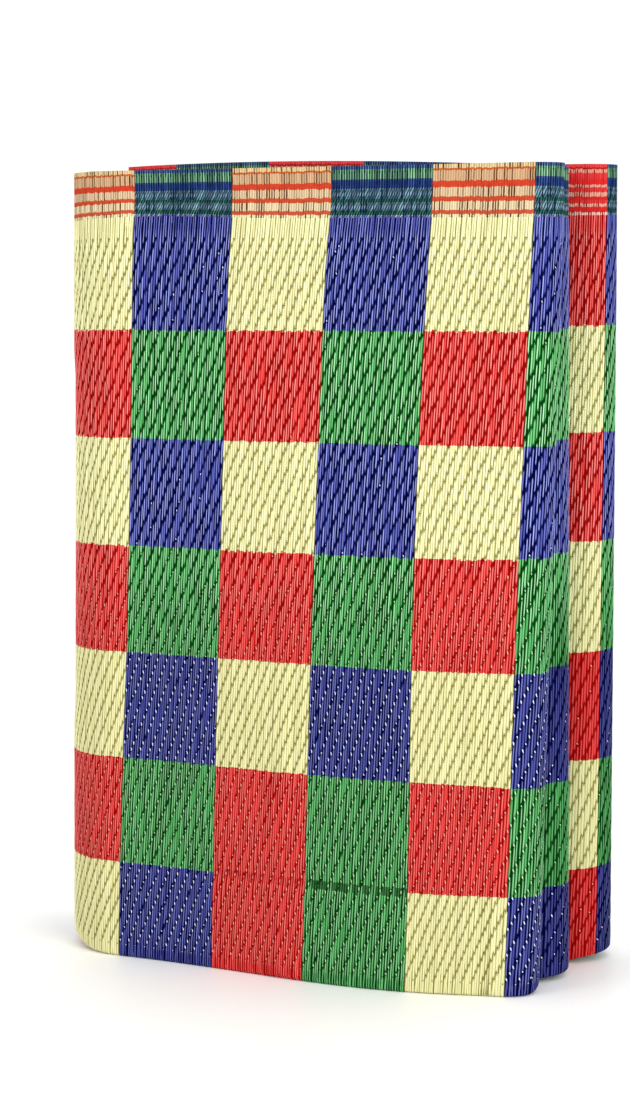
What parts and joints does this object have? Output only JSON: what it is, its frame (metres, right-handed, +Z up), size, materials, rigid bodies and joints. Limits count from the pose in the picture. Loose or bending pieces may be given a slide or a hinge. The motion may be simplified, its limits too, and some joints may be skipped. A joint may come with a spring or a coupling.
{
  "type": "folded plastic floor mat",
  "caption": "Woven plastic straw floor mat with a checked pattern, folded in half and then back and forth into an upright bundle.",
  "frame": {"origin": "on the surface, under the middle of the bounding box", "axes": "+Z up, along the mat's straws towards its hems; +X to the right across the front panel; +Y away from the front panel, through the layers"},
  "size_m": [0.318, 0.147, 0.4597],
  "materials": {
    "polypropylene_straw": "smooth flat straws, a little glossy, in navy, green, red and pale yellow"
  },
  "bodies": {
    "root": {"mat": "polypropylene_straw"}
  },
  "joints": []
}
